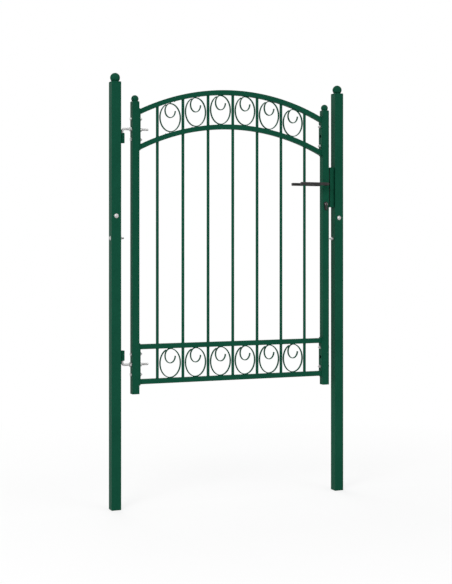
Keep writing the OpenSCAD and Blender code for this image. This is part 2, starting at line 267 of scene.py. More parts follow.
def carve(piece, cutter, how="DIFFERENCE"):
    applyModifier(piece, "BOOLEAN", object=cutter, operation=how, solver="EXACT")
    bpy.data.objects.remove(cutter)


def hollowOut(piece, lo, hi, wall):
    inset = Vector((wall, wall, wall))
    carve(piece, startBlock("hollow", lo + inset, hi - inset))


def drillHole(piece, profile, place, way, sides=32):
    carve(piece, standPiece(turnPiece("drill", profile, sides), place, way))


# small tools for the finishes: a source is a value, or a socket to link

def feed(tree, socket, source):
    if hasattr(source, "is_linked"):
        tree.links.new(source, socket)
    elif socket.type == "RGBA":
        socket.default_value = (*source, 1.0)
    else:
        socket.default_value = source


def feedAll(tree, unit, inputs):
    for key, source in inputs.items():
        feed(tree, unit.inputs[key.replace("_", " ")], source)
    return unit


def addNode(tree, kind, **inputs):
    unit = tree.nodes.new("ShaderNode" + kind)
    unit.location.x = 180 * len(tree.nodes)  # side by side in the node editor
    return feedAll(tree, unit, inputs)


def mathNode(tree, how, *sources, kind="Math", result="Value"):
    unit = addNode(tree, kind)
    unit.operation = how
    for socket, source in zip(unit.inputs, sources):
        feed(tree, socket, source)
    return unit.outputs[result]


def vectorNode(tree, how, first, second, result="Vector"):
    return mathNode(tree, how, first, second, kind="VectorMath", result=result)


def mixTint(tree, share, first, second):
    unit = addNode(tree, "Mix")
    unit.data_type = "RGBA"
    feed(tree, unit.inputs["Factor"], share)
    for socket, source in zip(unit.inputs[6:8], (first, second)):  # the two colours
        feed(tree, socket, source)
    return unit.outputs[2]


def rangeNode(tree, source, low, high, toLow=0.0, toHigh=1.0):
    unit = addNode(tree, "MapRange", Value=source, From_Min=low, From_Max=high, To_Min=toLow, To_Max=toHigh)
    return unit.outputs["Result"]


def noiseNode(tree, place, **values):
    return addNode(tree, "TexNoise", Vector=place, **values).outputs["Fac"]


def splitNode(tree, source):
    return addNode(tree, "SeparateXYZ", Vector=source).outputs


def faceWay(tree):
    return splitNode(tree, addNode(tree, "NewGeometry").outputs["Normal"])


# a group's inputs are Vector or Float, and all its outputs are Float
def newGroup(name, inputs, outputs):
    group = bpy.data.node_groups.new(name, "ShaderNodeTree")
    for label, kind in inputs.items():
        group.interface.new_socket(name=label, in_out="INPUT", socket_type="NodeSocket" + kind)
    for label in outputs:
        group.interface.new_socket(name=label, in_out="OUTPUT", socket_type="NodeSocketFloat")
    return group, group.nodes.new("NodeGroupInput").outputs, group.nodes.new("NodeGroupOutput").inputs


def useGroup(tree, group, **inputs):
    unit = addNode(tree, "Group")
    unit.node_tree = group
    return feedAll(tree, unit, inputs).outputs


# sprayed and baked coat: soft clouds of tone, orange peel, fine specks
grainLook = {
    "cloudShare": 0.6, "peelShare": 0.4, "toneRange": (0.35, 0.65),
    "speckScale": 1500.0, "speckRise": 0.35, "toneGloss": 0.6, "speckGloss": 0.4,
    "glossRange": (0.1, 0.9),
}


def makeCoatGrain():
    look = grainLook
    inputs = {"Place": "Vector", "Cloud Scale": "Float", "Peel Scale": "Float"}
    group, given, result = newGroup("coatGrain", inputs, ("Tone", "Gloss", "Height"))
    cloud = noiseNode(group, given["Place"], Scale=given["Cloud Scale"], Detail=3.0, Roughness=0.55)
    peel = noiseNode(group, given["Place"], Scale=given["Peel Scale"], Detail=1.5, Roughness=0.45)
    speck = noiseNode(group, given["Place"], Scale=look["speckScale"], Detail=1.0)
    mottle = mathNode(group, "MULTIPLY", peel, look["peelShare"])
    blend = mathNode(group, "MULTIPLY_ADD", cloud, look["cloudShare"], mottle)
    tone = rangeNode(group, blend, *look["toneRange"])
    dull = mathNode(group, "MULTIPLY", speck, look["speckGloss"])
    feed(group, result["Tone"], tone)
    feed(group, result["Gloss"], mathNode(group, "MULTIPLY_ADD", tone, look["toneGloss"], dull))
    feed(group, result["Height"], mathNode(group, "MULTIPLY_ADD", speck, look["speckRise"], peel))
    return group


# thin dust that lies on faces turned upwards
dustLook = {"facing": (0.35, 0.95), "scale": 45.0, "patches": (0.35, 0.75)}


def makeTopDust():
    group, given, result = newGroup("topDust", {"Place": "Vector", "Amount": "Float"}, ("Mask",))
    facing = rangeNode(group, faceWay(group)["Z"], *dustLook["facing"])
    drift = noiseNode(group, given["Place"], Scale=dustLook["scale"], Detail=4.0, Roughness=0.65)
    patches = rangeNode(group, drift, *dustLook["patches"])
    both = mathNode(group, "MULTIPLY", facing, patches)
    feed(group, result["Mask"], mathNode(group, "MULTIPLY", both, given["Amount"]))
    return group


# painted shade: darkens the faces turned to the leaf inside a box round the keep, standing in for the shade
# between keep, stile and post
cornerShadeLook = {"facing": (-0.5, -0.8), "border": (0.97, 1.0)}


def makeCornerShade():
    inputs = {"Place": "Vector", "Middle": "Vector", "Half": "Vector"}
    group, given, result = newGroup("cornerShade", inputs, ("Mask",))
    away = vectorNode(group, "SUBTRACT", given["Place"], given["Middle"])
    share = splitNode(group, vectorNode(group, "DIVIDE", away, given["Half"]))
    mask = rangeNode(group, faceWay(group)["X"], *cornerShadeLook["facing"])
    for axis in "XYZ":
        inside = rangeNode(group, mathNode(group, "ABSOLUTE", share[axis]), *cornerShadeLook["border"], 1.0, 0.0)
        mask = mathNode(group, "MULTIPLY", mask, inside)
    feed(group, result["Mask"], mask)
    return group


# drawn or ground metal: long fine lines along one direction of the stretched place
drawnLook = {"cloudScale": 160.0, "glossRange": (0.3, 0.7)}


def makeDrawnLines():
    inputs = {"Place": "Vector", "Stretch": "Vector"}
    group, given, result = newGroup("drawnLines", inputs, ("Lines", "Cloud"))
    pulled = vectorNode(group, "MULTIPLY", given["Place"], given["Stretch"])
    feed(group, result["Lines"], noiseNode(group, pulled, Scale=1.0, Detail=3.0, Roughness=0.6))
    feed(group, result["Cloud"], noiseNode(group, given["Place"], Scale=drawnLook["cloudScale"], Detail=2.0))
    return group


coatGrain = makeCoatGrain()
topDust = makeTopDust()
cornerShade = makeCornerShade()
drawnLines = makeDrawnLines()


def newFinish(name):
    finish = bpy.data.materials.new(name)
    finish.use_nodes = True
    tree = finish.node_tree
    return finish, tree, addNode(tree, "TexCoord").outputs["Object"]


def dressShader(tree, look, tint, gloss, height, **others):
    relief = addNode(tree, "Bump", Strength=look["bump"], Distance=look["rise"], Height=height)
    others.update({"Base Color": tint, "Roughness": gloss, "Normal": relief.outputs["Normal"]})
    feedAll(tree, tree.nodes["Principled BSDF"], others)


greenCoat = {
    "deep": (0.0037, 0.0590, 0.0322),
    "pale": (0.0060, 0.0735, 0.0405),
    "dust": (0.030, 0.095, 0.066),
    "dustAmount": 0.22,
    # painted shade colour for the corner beside the keep, and how far past the keep it reaches
    "paintedShade": (0.0017, 0.034, 0.0185),
    "shadeReach": (1.6, 11.0, 0.5),  # mm past the keep on each side
    "gloss": (0.44, 0.58),  # roughness from glossy to dull patches
    "specular": 0.04, "cloud": 4.5, "grain": 420.0, "bump": 0.12, "rise": 0.0006,
}

blackCoat = {
    "deep": (0.014, 0.013, 0.013), "cloud": 28.0, "bump": 0.06, "rise": 0.0003,
    "dust": (0.16, 0.15, 0.14), "dustAmount": 0.15,
}

leverNylon = {
    **blackCoat, "pale": (0.026, 0.024, 0.024),
    "gloss": (0.36, 0.52), "specular": 0.26, "grain": 1100.0,
}

lockLacquer = {
    **blackCoat, "pale": (0.032, 0.031, 0.030),
    "gloss": (0.30, 0.46), "specular": 0.24, "grain": 900.0,
}

# dark green liner coat: painted shade for the inside of the spare holes
shadedBoreCoat = {
    **blackCoat, "deep": (0.0008, 0.0080, 0.0042), "pale": (0.0016, 0.0125, 0.0068),
    "gloss": (0.62, 0.80), "specular": 0.05, "grain": 700.0, "bump": 0.10,
}


def makeCoat(name, look):
    finish, tree, place = newFinish(name)
    grain = useGroup(tree, coatGrain, Place=place, Cloud_Scale=look["cloud"], Peel_Scale=look["grain"])
    dust = useGroup(tree, topDust, Place=place, Amount=look["dustAmount"])
    tint = mixTint(tree, grain["Tone"], look["deep"], look["pale"])
    tint = mixTint(tree, dust["Mask"], tint, look["dust"])
    # darken the corner beside the keep with painted shade
    if "paintedShade" in look:
        lo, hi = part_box("keep")
        half = (hi - lo) / 2 + Vector(look["shadeReach"]) * mm
        paintedShade = useGroup(tree, cornerShade, Place=place, Middle=(lo + hi) / 2, Half=half)
        tint = mixTint(tree, paintedShade["Mask"], tint, look["paintedShade"])
    gloss = rangeNode(tree, grain["Gloss"], *grainLook["glossRange"], *look["gloss"])
    dressShader(tree, look, tint, gloss, grain["Height"], Specular_IOR_Level=look["specular"])
    return finish


zincPlate = {
    "dull": (0.42, 0.42, 0.42), "bright": (0.58, 0.575, 0.57), "tintFrom": ("Cloud", 0.32, 0.68),
    "gloss": (0.32, 0.50), "glossFrom": "Lines", "metal": 0.75,
    "stretch": (900.0, 900.0, 900.0), "bump": 0.06, "rise": 0.0002,
}

groundMetal = {"tintFrom": ("Lines", 0.3, 0.7), "glossFrom": "Cloud", "metal": 1.0, "rise": 0.0001}

brushedSteel = {
    **groundMetal, "dull": (0.42, 0.41, 0.39), "bright": (0.58, 0.57, 0.55), "gloss": (0.28, 0.46),
    "bump": 0.10, "stretch": (2600.0, 2600.0, 30.0),  # lines run up the faceplate
}

plugNickel = {
    **groundMetal, "dull": (0.12, 0.115, 0.112), "bright": (0.22, 0.21, 0.205), "gloss": (0.22, 0.36),
    "bump": 0.08, "stretch": (2200.0, 500.0, 2200.0),
}


def makeMetal(name, look):
    finish, tree, place = newFinish(name)
    drawn = useGroup(tree, drawnLines, Place=place, Stretch=look["stretch"])
    pattern, low, high = look["tintFrom"]
    tint = mixTint(tree, rangeNode(tree, drawn[pattern], low, high), look["dull"], look["bright"])
    gloss = rangeNode(tree, drawn[look["glossFrom"]], *drawnLook["glossRange"], *look["gloss"])
    dressShader(tree, look, tint, gloss, drawn["Lines"], Metallic=look["metal"])
    return finish


coat = makeCoat("greenCoat", greenCoat)
zinc = makeMetal("zincPlate", zincPlate)
steel = makeMetal("brushedSteel", brushedSteel)
nickel = makeMetal("plugNickel", plugNickel)
nylon = makeCoat("leverNylon", leverNylon)
lacquer = makeCoat("lockLacquer", lockLacquer)
boreShade = makeCoat("boreShade", shadedBoreCoat)
print("finishes made")


# last touches: shading, finish, body and the nodes it stands for
def finishPiece(piece, *nodes, body="leaf", finish=coat, angle=40, flats=True):
    pickOnly(piece)
    bpy.ops.object.shade_smooth_by_angle(angle=radians(angle))
    if flats:
        applyModifier(piece, "WEIGHTED_NORMAL", keep_sharp=True)
    piece.data.materials.clear()
    piece.data.materials.append(finish)
    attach(piece, body)
    if nodes:
        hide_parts(*nodes)


# posts of square tube with soft corners
postTube = {"corner": 1.0 * mm, "cornerSteps": 4, "rim": 0.7 * mm}

for name, node in (("hingePostTube", "hinge_post"), ("latchPostTube", "latch_post")):
    finishPiece(roundedBlock(name, *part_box(node), 2, postTube), node, body="posts")
print("posts built")


# cap plates with a ball seated in a ring of weld
capShape = {
    "plateHeight": 5.0, "plateBevel": 3.0 * mm, "corner": 1.0 * mm,
    "ballRings": 22, "ballTop": 89.2,  # degrees up the ball
    "weldWidth": 2.0, "weldHeight": 1.5, "ballFrom": 1.5,  # in heights of the weld
    "weldCurve": ((-0.2, 1.0), (0.1, 1.0), (0.45, 0.85), (1.0, 0.42)),  # shares of height and width
}


# the upright edges and the mitres above them lie on the plate's diagonals
def onDiagonal(edge, middle):
    steps = [v.co - middle for v in edge.verts]
    return all(abs(abs(step.x) - abs(step.y)) < sameSpot for step in steps)


def buildBallCap(name, tubeNode, ballRadius):
    spec = capShape
    lo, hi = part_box(tubeNode)
    middle = (lo + hi) / 2
    top = hi.z + spec["plateHeight"] * mm
    plate = startBlock(name, (lo.x, lo.y, hi.z), (hi.x, hi.y, top))
    roundEdges(plate, lambda e: bothAt(e, 2, top), spec["plateBevel"])
    roundEdges(plate, lambda e: onDiagonal(e, middle), spec["corner"])
    # the ball rests on the tube, so the plate hides its foot
    sunk = ballRadius - spec["plateHeight"]
    seat = sqrt(ballRadius ** 2 - sunk ** 2)
    rise = spec["weldHeight"]
    profile = [(rise * up, seat + spec["weldWidth"] * out) for up, out in spec["weldCurve"]]
    first = asin((rise * spec["ballFrom"] - sunk) / ballRadius)
    for ring in range(spec["ballRings"] + 1):
        tilt = first + (radians(spec["ballTop"]) - first) * ring / spec["ballRings"]
        profile.append((sunk + ballRadius * sin(tilt), ballRadius * cos(tilt)))
    ball = turnPiece(name + "Ball", profile, sides=48)
    standPiece(ball, (middle.x, middle.y, top), upward)
    return joinPieces(name, [plate, ball])


for tube, body, ballRadius in (("post", "posts", 20.0), ("stile", "leaf", 15.0)):
    caps = [buildBallCap(tube + "Cap" + side, side + "_" + tube, ballRadius) for side in ("hinge", "latch")]
    finishPiece(joinPieces(tube + "BallCaps", caps), tube + "_caps", body=body, angle=30)
print("ball caps built")


# a bead of weld with its ripples, from one point to another
weldBead = {"pitch": 1.5, "ripple": 0.14, "endShare": 0.35, "fewest": 4}


def layWeld(name, start, end, radius):
    start, end = Vector(start), Vector(end)
    length = (end - start).length / mm
    count = max(weldBead["fewest"], round(length / weldBead["pitch"]))
    profile = [(0.0, radius * weldBead["endShare"])]
    for step in range(1, count):
        swell = 1.0 + weldBead["ripple"] * (1 if step % 2 else -1)
        profile.append((length * step / count, radius * swell))
    profile.append((length, radius * weldBead["endShare"]))
    return standPiece(turnPiece(name, profile, sides=8), start, end - start)


# hinge sleeves on the post, each held by two beads
sleeveShape = {
    "tall": 41.0, "radius": 10.0, "bore": 5.25, "chamfer": 0.8, "boreChamfer": 0.48,
    "beadRadius": 2.1, "beadOffset": 4.0 * mm, "beadStop": 2.5 * mm, "beadInset": 0.9 * mm,
}


def buildSleeves():
    spec = sleeveShape
    lo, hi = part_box("hinge_sleeves")
    tall, outer, bore = spec["tall"], spec["radius"], spec["bore"]
    cut, sink = spec["chamfer"], spec["boreChamfer"]
    ring = [(cut, outer), (tall - cut, outer), (tall, outer - cut), (tall, bore + sink), (tall - sink, bore),
            (sink, bore), (0, bore + sink), (0, outer - cut), (cut, outer)]
    model = turnPiece("sleeveModel", ring, sides=40, bored=True)
    feet = (lo.z, hi.z - tall * mm)
    parts = [spreadCopies("sleeve", model, [((hi.x - outer * mm, 0, foot), upward) for foot in feet])]
    x = lo.x + spec["beadInset"]
    for foot in feet:
        low, high = foot + spec["beadStop"], foot + tall * mm - spec["beadStop"]
        for y in (-spec["beadOffset"], spec["beadOffset"]):
            parts.append(layWeld("sleeveBead", (x, y, low), (x, y, high), spec["beadRadius"]))
    return joinPieces("hingeSleeves", parts)


finishPiece(buildSleeves(), "hinge_sleeves", body="posts", angle=35)
print("hinge sleeves built")


# bolts and nuts, made once along +Z with the underside of the head at zero
fastener = {"pitch": 1.25, "depth": 0.5, "runout": 0.4, "sides": 24, "tip": 1.0, "twist": 37}


def threadRings(start, end, radius, pitch, depth):
    rings = []
    count = int((end - start) / pitch)
    for turn in range(count):
        rings.append((start + turn * pitch, radius - depth))
        rings.append((start + (turn + 0.5) * pitch, radius))
    rings.append((start + count * pitch, radius - depth))
    return rings


def boltShank(first, threadFrom, end, radius):
    tip = fastener["tip"]
    rings = [(first, radius), (threadFrom - fastener["runout"], radius)]
    rings += threadRings(threadFrom, end - tip, radius, fastener["pitch"], fastener["depth"])
    return rings + [(end, radius - tip)]


# six-sided blank with its corners turned off at one or both ends
hexShape = {"land": 0.96, "slope": 30.0, "taper": 0.9, "over": 0.2, "sink": 0.6, "sinkOver": 0.3}


def hexBlank(name, across, height, bothEnds):
    over = hexShape["over"]
    clearPick()
    corner = across / 2 / cos(radians(hexTurn / 2))
    bpy.ops.mesh.primitive_cylinder_add(vertices=6, radius=corner * mm, depth=height * mm,
                                        location=(0, 0, height * mm / 2))
    blank = takeUp(name)
    land, outer = across / 2 * hexShape["land"], corner + over
    narrow = land * hexShape["taper"]
    drop = (outer - land) * tan(radians(hexShape["slope"]))
    lathe = [(-over, outer), (height - drop, outer), (height, land), (height + over, narrow)]
    if bothEnds:
        lathe = [(-over, narrow), (0, land), (drop, outer)] + lathe[1:]
    carve(blank, turnPiece("hexLathe", lathe, sides=48), "INTERSECT")
    mergeAll(blank)
    return blank


smallNut = {"across": 13.0, "height": 6.4, "bore": 8.1}
largeNut = {"across": 17.0, "height": 8.0, "bore": 10.1}


def makeNut(across, height, bore):
    nut = hexBlank("nutModel", across, height, True)
    sink, over, inner = hexShape["sink"], hexShape["sinkOver"], bore / 2
    wide = inner + sink + over
    drill = [(-over, wide), (sink, inner), (height - sink, inner), (height + over, wide)]
    carve(nut, turnPiece("nutDrill", drill, fastener["sides"]))
    return nut


def setFasteners(name, model, places, node, **others):
    finishPiece(spreadCopies(name, model, places, fastener["twist"]), node, finish=zinc, **others)


# where the nuts sit, at the far side of what the bolts go through
def pastGrip(boltPlaces, grip):
    return [(Vector(place) + Vector(way) * grip, way) for place, way in boltPlaces]


mushroomBolt = {
    "headRadius": 9.0, "headHeight": 4.5, "shank": 4.0, "length": 57.0, "threadFrom": 30.0, "grip": 40.0 * mm,
    "domeTilt": (88.5, 41.0), "domeSteps": 10,
    "headRim": ((-0.55, 0.05), (-0.15, 0.2), (0.0, 0.6)),  # height, inset from the radius
    "shankFrom": 0.01,
}


def makeMushroom():
    spec = mushroomBolt
    radius, rise = spec["headRadius"], spec["headHeight"]
    domeRadius = (radius ** 2 + rise ** 2) / (2 * rise)
    start, end = spec["domeTilt"]
    profile = []
    for step in range(spec["domeSteps"] + 1):
        tilt = radians(start + (end - start) * step / spec["domeSteps"])
        profile.append((domeRadius - rise - domeRadius * sin(tilt), domeRadius * cos(tilt)))
    profile += [(height, radius - inset) for height, inset in spec["headRim"]]
    profile += boltShank(spec["shankFrom"], spec["threadFrom"], spec["length"], spec["shank"])
    return turnPiece("mushroomModel", profile)


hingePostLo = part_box("hinge_post")[0]
latchPostLo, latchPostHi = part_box("latch_post")
boltLo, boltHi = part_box("post_bolts")
sideBoltZ = boltLo.z + mushroomBolt["headRadius"] * mm  # the lower bolts run along the gate
frontBoltZ = boltHi.z - mushroomBolt["headRadius"] * mm
postBoltPlaces = [
    ((0, hingePostLo.y, frontBoltZ), alongY),
    (((latchPostLo.x + latchPostHi.x) / 2, latchPostLo.y, frontBoltZ), alongY),
    ((hingePostLo.x, 0, sideBoltZ), alongX),
    ((latchPostHi.x, 0, sideBoltZ), againstX),
]
setFasteners("postMushroomBolts", makeMushroom(), postBoltPlaces, "post_bolts", body="posts", flats=False)
setFasteners("postBoltNuts", makeNut(**smallNut), pastGrip(postBoltPlaces, mushroomBolt["grip"]), "post_nuts",
             body="posts", angle=25)
print("post bolts built")


# keep: a closed length of square tube with a slot for the latch
keepShape = {
    "corner": 1.0 * mm, "cornerSteps": 3, "rim": 0.8 * mm, "wall": 1.5 * mm,
    "slotWide": 14.0 * mm, "slotTall": 32.0 * mm, "slotCorner": 2.0 * mm,
    "bead": 1.3, "beadReach": 7.0 * mm, "beadSink": 0.3 * mm, "beadInset": 0.9 * mm,
}
latchLo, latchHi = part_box("latch_bolt")


def buildKeep():
    spec = keepShape
    lo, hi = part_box("keep")
    keep = roundedBlock("keepTube", lo, hi, 2, spec)
    hollowOut(keep, lo, hi, spec["wall"])
    half = Vector((2 * spec["wall"], spec["slotWide"] / 2, spec["slotTall"] / 2))
    mouth = Vector((lo.x, 0, (latchLo.z + latchHi.z) / 2))
    slot = startBlock("keepSlot", mouth - half, mouth + half)
    roundEdges(slot, lambda e: runsAlong(e, 0), spec["slotCorner"])
    carve(keep, slot)
    parts = [keep]
    for z in (lo.z + spec["beadSink"], hi.z - spec["beadSink"]):
        ends = [(hi.x - spec["beadInset"], side * spec["beadReach"], z) for side in (-1, 1)]
        parts.append(layWeld("keepBead", *ends, spec["bead"]))
    return joinPieces("keepTube", parts)


finishPiece(buildKeep(), "keep", body="posts")
print("keep built")


# spare hinge holes on the latch side, in the middle of each end plate
spareHole = {
    "radius": 6.5, "chamfer": 1.5, "reach": 40.0, "over": 2.0,
    "play": 0.02, "skin": 0.25, "lip": 0.05,  # of the dark liner inside, painted shade in the hole
}
endPlate = {"tall": 171.5 * mm, "corner": 5.0 * mm, "cornerSteps": 1, "rim": 0.7 * mm}

plateLo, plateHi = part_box("latch_end_plates")
plateMiddles = (plateLo.z + endPlate["tall"] / 2, plateHi.z - endPlate["tall"] / 2)


# stiles: hollow square tube, open where the spare hinge holes are
stileTube = {"corner": 0.9 * mm, "cornerSteps": 4, "rim": 0.7 * mm, "wall": 1.5 * mm}


def buildStile(name, node, holeLevels):
    lo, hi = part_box(node)
    stile = roundedBlock(name, lo, hi, 2, stileTube)
    hollowOut(stile, lo, hi, stileTube["wall"])
    radius, reach = spareHole["radius"], spareHole["reach"]
    for z in holeLevels:
        drillHole(stile, [(-reach, radius), (reach, radius)], ((lo.x + hi.x) / 2, 0, z), alongX)
    finishPiece(stile, node)


buildStile("hingeStileTube", "hinge_stile", ())
buildStile("latchStileTube", "latch_stile", plateMiddles)
print("stiles built")


# straight rails and the two arches, all of the same tube
railTube = {"corner": 0.8 * mm, "cornerSteps": 4, "rim": 0.3 * mm}
archBend = {"radius": 925.0 * mm, "steps": 72, "cornerSteps": 3, "spill": 1.2}  # degrees past each end

for name, node in (("middleRailTube", "middle_rail"), ("bottomRailTube", "bottom_rail")):
    finishPiece(roundedBlock(name, *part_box(node), 0, railTube), node)

railLo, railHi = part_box("middle_rail")
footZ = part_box("bottom_rail")[1].z
tubeHalf = (railHi.y - railLo.y) / 2


def buildArch(name, node):
    radius = archBend["radius"]
    lo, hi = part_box(node)
    middle = (lo.x + hi.x) / 2
    centre = Vector((middle, 0, hi.z - tubeHalf - radius))
    swing = asin((hi.x - middle) / (radius - tubeHalf)) + radians(archBend["spill"])
    foot = centre + radius * Vector((-sin(swing), 0, cos(swing)))
    arch = startSection(name, 2 * tubeHalf, 2 * tubeHalf, railTube["corner"], archBend["cornerSteps"], foot,
                        (0, radians(90) - swing, 0))
    bpy.ops.mesh.spin(steps=archBend["steps"], angle=-2 * swing, center=centre, axis=alongY)
    for x, way in ((lo.x, -1), (hi.x, 1)):  # cut plumb where it meets the end plates
        pickAll()
        bpy.ops.mesh.bisect(plane_co=(x, 0, 0), plane_no=(way, 0, 0), use_fill=True, clear_outer=True)
    sealShell()
    finishPiece(arch, node)
    return centre


# height of an arch's underside (side -1) or top (side 1)
def archLevel(x, centre, side):
    reach = archBend["radius"] + side * tubeHalf
    return centre.z + sqrt(reach ** 2 - (x - centre.x) ** 2)


upperCentre = buildArch("upperArchTube", "upper_arch")
lowerCentre = buildArch("lowerArchTube", "lower_arch")
print("rails and arches built")


# upright bars with a collar of weld where they meet the straight rails
barShape = {
    "radius": 6.0, "bury": 6.0,
    "weldRadius": 7.9, "weldHeight": 2.4, "weldThroat": (0.35, 0.42), "weldSink": 1.2,
}


def weldFlare(level, upwards):
    radius, wide, rise = barShape["radius"], barShape["weldRadius"], barShape["weldHeight"]
    up, out = barShape["weldThroat"]
    flare = [(0.0, radius), (0.0, wide), (up * rise, radius + out * (wide - radius)), (rise, radius)]
    if upwards:
        return [(level + a, b) for a, b in flare]
    return [(level - a, b) for a, b in reversed(flare)]


def buildBar(name, node):
    lo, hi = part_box(node)
    x = (lo.x + hi.x) / 2
    radius, bury = barShape["radius"], barShape["bury"]
    profile = [(footZ / mm - bury, radius)]
    profile += weldFlare(footZ / mm, True) + weldFlare(railLo.z / mm, False) + weldFlare(railHi.z / mm, True)
    profile.append((archLevel(x, upperCentre, -1) / mm + bury, radius))
    bar = standPiece(turnPiece(name, profile), (x, 0, 0), upward)
    finishPiece(bar, node, angle=35, flats=False)
    return x


barLines = [buildBar("uprightBar%d" % n, "bar_%d" % n) for n in range(1, 8)]


# the same collars tilted to the slope of the arches
def buildArchWelds():
    profile = [(-barShape["weldSink"], barShape["weldRadius"])] + weldFlare(0.0, True)[1:]
    model = turnPiece("archWeldModel", profile, sides=24)
    places = []
    for x in barLines:
        for centre, side in ((upperCentre, -1), (lowerCentre, -1), (lowerCentre, 1)):
            place = Vector((x, 0, archLevel(x, centre, side)))
            places.append((place, (place - centre) * side))
    return spreadCopies("archBarWelds", model, places)


finishPiece(buildArchWelds(), angle=35, flats=False)
print("bars built")


# scrolls: flat strip bent round a small oval and then round a large one
scrollStrip = {
    "thick": 3.5, "deep": 10.0, "corner": 0.7, "cornerSteps": 2, "curlShare": 0.5,
    "curl": (-2.0, -270.0), "curlSteps": 36, "ring": (90.0, -246.0), "ringSteps": 64,  # degrees
}


def ovalArc(wide, tall, lift, turn, steps):
    start, end = turn
    angles = [radians(start + (end - start) * k / steps) for k in range(steps + 1)]
    return [Vector((wide * cos(a) * mm, 0, (lift + tall * sin(a)) * mm)) for a in angles]


def makeScroll(halfWide, halfTall):
    spec = scrollStrip
    wide, tall, curl = halfWide - spec["thick"] / 2, halfTall - spec["thick"] / 2, spec["curlShare"]
    path = ovalArc(wide * curl, tall * curl, tall * (1 - curl), spec["curl"], spec["curlSteps"])
    path += ovalArc(wide, tall, 0, spec["ring"], spec["ringSteps"])[1:]
    runs = [after - before for before, after in zip(path[:1] + path, path[1:] + path[-1:])]
    angles = [atan2(run.z, run.x) for run in runs]
    strip = startSection("scrollModel", spec["thick"] * mm, spec["deep"] * mm, spec["corner"] * mm,
                         spec["cornerSteps"], path[0], (0, radians(90) - angles[0], 0))
    for k in range(1, len(path)):
        pushOut(path[k] - path[k - 1])
        bend = (angles[k] - angles[k - 1] + pi) % (2 * pi) - pi
        bpy.ops.transform.rotate(value=bend, orient_axis="Y", center_override=path[k])
    sealShell()
    return strip


scrollSpots = []
for row in ("lower", "upper"):
    models = {}
    for n in range(1, 7):
        node = "%s_scroll_%d" % (row, n)
        lo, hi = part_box(node)
        halfWide, halfTall = (hi.x - lo.x) / 2 / mm, (hi.z - lo.z) / 2 / mm
        size = (round(halfWide, 2), round(halfTall, 1))
        if size not in models:
            models[size] = makeScroll(halfWide, halfTall)
        name = "%sScroll%d" % (row, n)
        strip = moveTo(copyPiece(models[size], name), (lo + hi) / 2)
        finishPiece(strip, node, angle=35)
        scrollSpots.append((row, (lo.x + hi.x) / 2))
    for model in models.values():
        bpy.data.objects.remove(model)
print("scrolls built")


# tacks of weld in the corners where a scroll meets the tubes above and below it
scrollTack = {"radius": 1.5, "reach": 9.0 * mm, "deep": 4.4 * mm, "sink": 0.5 * mm, "lean": 36.0 * mm}


def tackLevel(row, level, x):
    if row == "lower":
        return footZ if level < 0 else railLo.z
    return archLevel(x, lowerCentre if level < 0 else upperCentre, -level)


def buildTacks():
    spec = scrollTack
    model = layWeld("tackModel", (0, -spec["deep"], 0), (0, spec["deep"], 0), spec["radius"])
    places = []
    for row, middle in scrollSpots:
        slope = (middle - upperCentre.x) / archBend["radius"] if row == "upper" else 0.0
        for level in (-1, 1):
            for side in (-1, 1):
                x = middle - slope * spec["lean"] * level + side * spec["reach"]
                places.append(((x, 0, tackLevel(row, level, x) - level * spec["sink"]), upward))
    return spreadCopies("scrollTacks", model, places)


finishPiece(buildTacks(), angle=50, flats=False)
print("scroll tacks built")


# end plates with cut corners
def buildEndPlates(name, node, spare):
    radius, chamfer, half = spareHole["radius"], spareHole["chamfer"], endPlate["tall"] / 2
    wide = radius + chamfer
    lo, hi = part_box(node)
    parts = []
    for z in plateMiddles:
        plate = roundedBlock(name, (lo.x, lo.y, z - half), (hi.x, hi.y, z + half), 0, endPlate)
        if spare:
            profile = [(-spareHole["over"], wide), (0, wide), (chamfer, radius), (spareHole["reach"], radius)]
            drillHole(plate, profile, (lo.x, 0, z), alongX)
        parts.append(plate)
    finishPiece(joinPieces(name, parts), node)


buildEndPlates("hingeEndPlates", "hinge_end_plates", False)
buildEndPlates("latchEndPlates", "latch_end_plates", True)


# dark liners on the spare holes' walls, in a darkened coat green: painted shade inside the holes
def buildBoreShades():
    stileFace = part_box("latch_stile")[0].x
    deep = (stileFace + stileTube["wall"] - plateLo.x) / mm
    cut, lip = spareHole["chamfer"], spareHole["lip"]
    outer = spareHole["radius"] - spareHole["play"]
    inner = outer - spareHole["skin"]
    ring = [(lip, outer + cut - lip), (cut, outer), (deep, outer), (deep, inner), (cut, inner),
            (lip, inner + cut - lip), (lip, outer + cut - lip)]
    model = turnPiece("boreModel", ring, bored=True)
    places = [((plateLo.x, 0, z), alongX) for z in plateMiddles]
    return spreadCopies("spareBoreShades", model, places, fastener["twist"])


finishPiece(buildBoreShades(), finish=boreShade, flats=False)


# beads round the tube ends on the plates
tubeWeld = {"radius": 1.5, "inset": 0.4 * mm, "stop": 1.5 * mm}


def buildTubeWelds():
    inset, stop = tubeWeld["inset"], tubeWeld["stop"]
    centres = {"upper_arch": upperCentre, "lower_arch": lowerCentre}
    parts = []
    for node in ("upper_arch", "lower_arch", "middle_rail", "bottom_rail"):
        lo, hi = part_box(node)
        for end, way in ((lo.x, 1), (hi.x, -1)):
            low, high = lo.z, hi.z
            if node in centres:
                low, high = (archLevel(end, centres[node], side) for side in (-1, 1))
            x = end + way * inset
            beads = [((x, y, low + stop), (x, y, high - stop)) for y in (lo.y + inset, hi.y - inset)]
            beads += [((x, lo.y + stop, z), (x, hi.y - stop, z)) for z in (low + inset, high - inset)]
            parts += [layWeld("tubeBead", *ends, tubeWeld["radius"]) for ends in beads]
    return joinPieces("tubeEndWelds", parts)


finishPiece(buildTubeWelds(), angle=50, flats=False)
print("end plates built")


# hexagon bolts that hold the stiles to the end plates
plateBolt = {
    "across": 13.0, "headHeight": 5.3, "shank": 4.0, "shankSink": 0.5, "length": 45.4, "threadFrom": 26.0,
    "offset": 41.5 * mm, "grip": 35.0 * mm,
}


